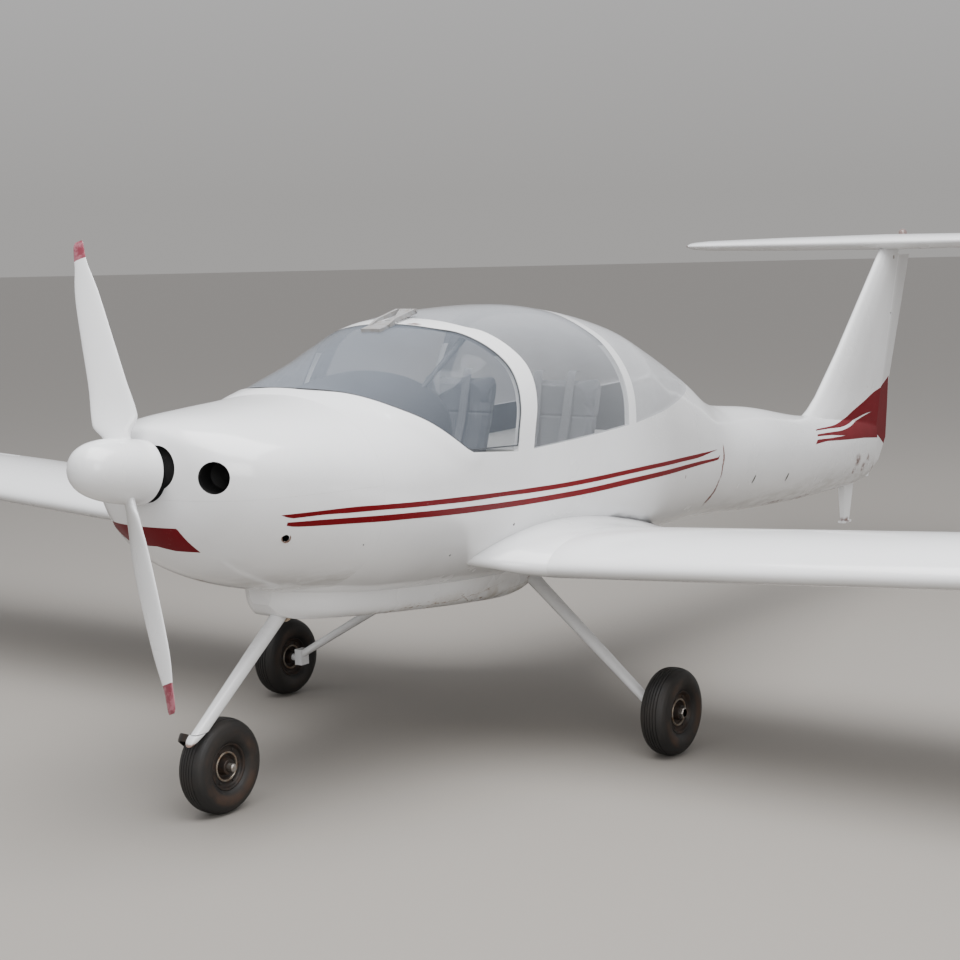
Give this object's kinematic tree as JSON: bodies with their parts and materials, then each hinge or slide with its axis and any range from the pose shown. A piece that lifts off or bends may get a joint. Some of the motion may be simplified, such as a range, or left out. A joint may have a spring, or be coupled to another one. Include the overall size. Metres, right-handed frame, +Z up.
{
  "type": "motor glider",
  "caption": "Two-seat T-tail motor glider with long low wings, fixed three-wheel gear, two-blade propeller, opening canopy and hinged control surfaces.",
  "frame": {"origin": "centre of the bounding box at ground level, under the tyres", "axes": "+X to the aircraft's left wing tip, -Y towards the nose, +Z up"},
  "size_m": [16.33, 7.2809, 2.127],
  "materials": {
    "white_gelcoat": "gloss",
    "clear_glazing": "gloss",
    "tyre_rubber": "matte",
    "hub_metal": "satin",
    "engine_metal": "matte",
    "dark_metal": "satin",
    "grey_trim": "matte",
    "seat_fabric": "matte",
    "lamp_plastic": "gloss"
  },
  "bodies": {
    "airframe": {"fuselage": "white_gelcoat", "wing_left": "white_gelcoat", "wing_right": "white_gelcoat", "belly_fairing": "white_gelcoat", "cowling_upper": "white_gelcoat", "cowling_lower": "white_gelcoat", "engine_block": "engine_metal", "stabiliser": "white_gelcoat", "tail_skid": "white_gelcoat", "beacon": "lamp_plastic", "middle_glazing": "clear_glazing", "rear_glazing": "clear_glazing", "canopy_hinge": "white_gelcoat", "instrument_panel": "grey_trim", "roof_strut": "grey_trim", "cabin_floor": "grey_trim", "rear_bulkhead": "grey_trim", "centre_console": "grey_trim", "seat_cushion_left": "seat_fabric", "seat_cushion_right": "seat_fabric", "seat_back_left": "seat_fabric", "seat_back_right": "seat_fabric", "control_stick_left": "grey_trim", "control_stick_right": "grey_trim", "main_leg_left": "white_gelcoat", "main_leg_right": "white_gelcoat", "nose_leg": "white_gelcoat"},
    "propeller": {"spinner": "white_gelcoat", "blade_upper": "white_gelcoat", "blade_lower": "white_gelcoat"},
    "canopy": {"canopy_glass": "clear_glazing", "canopy_frame": "grey_trim", "canopy_hinge_leaf": "white_gelcoat"},
    "aileron_left": {"aileron_left": "white_gelcoat"},
    "aileron_right": {"aileron_right": "white_gelcoat"},
    "airbrake_left": {"airbrake_left": "white_gelcoat"},
    "airbrake_right": {"airbrake_right": "white_gelcoat"},
    "elevator": {"elevator": "white_gelcoat"},
    "rudder": {"rudder": "white_gelcoat"},
    "nose_fork": {"nose_fork": "dark_metal"},
    "nose_wheel": {"nose_hub": "hub_metal", "nose_tyre": "tyre_rubber"},
    "left_wheel": {"left_hub": "hub_metal", "left_tyre": "tyre_rubber"},
    "right_wheel": {"right_hub": "hub_metal", "right_tyre": "tyre_rubber"}
  },
  "joints": [
    {"name": "propeller_spin", "type": "hinge", "parent": "airframe", "child": "propeller", "pos_m": [0, -3.64, 1.345], "axis": [0, 0.9888, -0.1495], "continuous": true},
    {"name": "canopy_hinge", "type": "hinge", "parent": "airframe", "child": "canopy", "pos_m": [0, -1.815, 1.797], "axis": [-1, 0, 0], "range_deg": [0, 55]},
    {"name": "left_aileron", "type": "hinge", "parent": "airframe", "child": "aileron_left", "pos_m": [5.3, -1.02588, 1.02972], "axis": [0.9964, -0.059, 0.0607], "range_deg": [-20, 20]},
    {"name": "right_aileron", "type": "hinge", "parent": "airframe", "child": "aileron_right", "pos_m": [-5.3, -1.02588, 1.02972], "axis": [-0.9964, -0.059, 0.0607], "range_deg": [-20, 20]},
    {"name": "left_airbrake", "type": "slide", "parent": "airframe", "child": "airbrake_left", "axis": [0, 0, 1], "range_m": [0, 0.08]},
    {"name": "right_airbrake", "type": "slide", "parent": "airframe", "child": "airbrake_right", "axis": [0, 0, 1], "range_m": [0, 0.08]},
    {"name": "elevator_hinge", "type": "hinge", "parent": "airframe", "child": "elevator", "pos_m": [0, 3.445, 2.045], "axis": [1, 0, 0], "range_deg": [-20, 25]},
    {"name": "rudder_hinge", "type": "hinge", "parent": "airframe", "child": "rudder", "pos_m": [0, 2.78, 0.64], "axis": [0, 0.3361, 0.9418], "range_deg": [-28, 28]},
    {"name": "nose_caster", "type": "hinge", "parent": "airframe", "child": "nose_fork", "pos_m": [0.018, -3.16, 0.33], "axis": [0, 0, 1], "range_deg": [-25, 25]},
    {"name": "nose_wheel_spin", "type": "hinge", "parent": "nose_fork", "child": "nose_wheel", "pos_m": [0, -3.006, 0.178], "axis": [1, 0, 0], "continuous": true},
    {"name": "left_wheel_spin", "type": "hinge", "parent": "airframe", "child": "left_wheel", "pos_m": [1.03, -1.468, 0.178], "axis": [1, 0, 0], "continuous": true},
    {"name": "right_wheel_spin", "type": "hinge", "parent": "airframe", "child": "right_wheel", "pos_m": [-1.03, -1.468, 0.178], "axis": [1, 0, 0], "continuous": true}
  ],
  "couplings": [
    {"joint": "right_aileron", "follows": "left_aileron", "ratio": 1},
    {"joint": "right_airbrake", "follows": "left_airbrake", "ratio": 1}
  ]
}
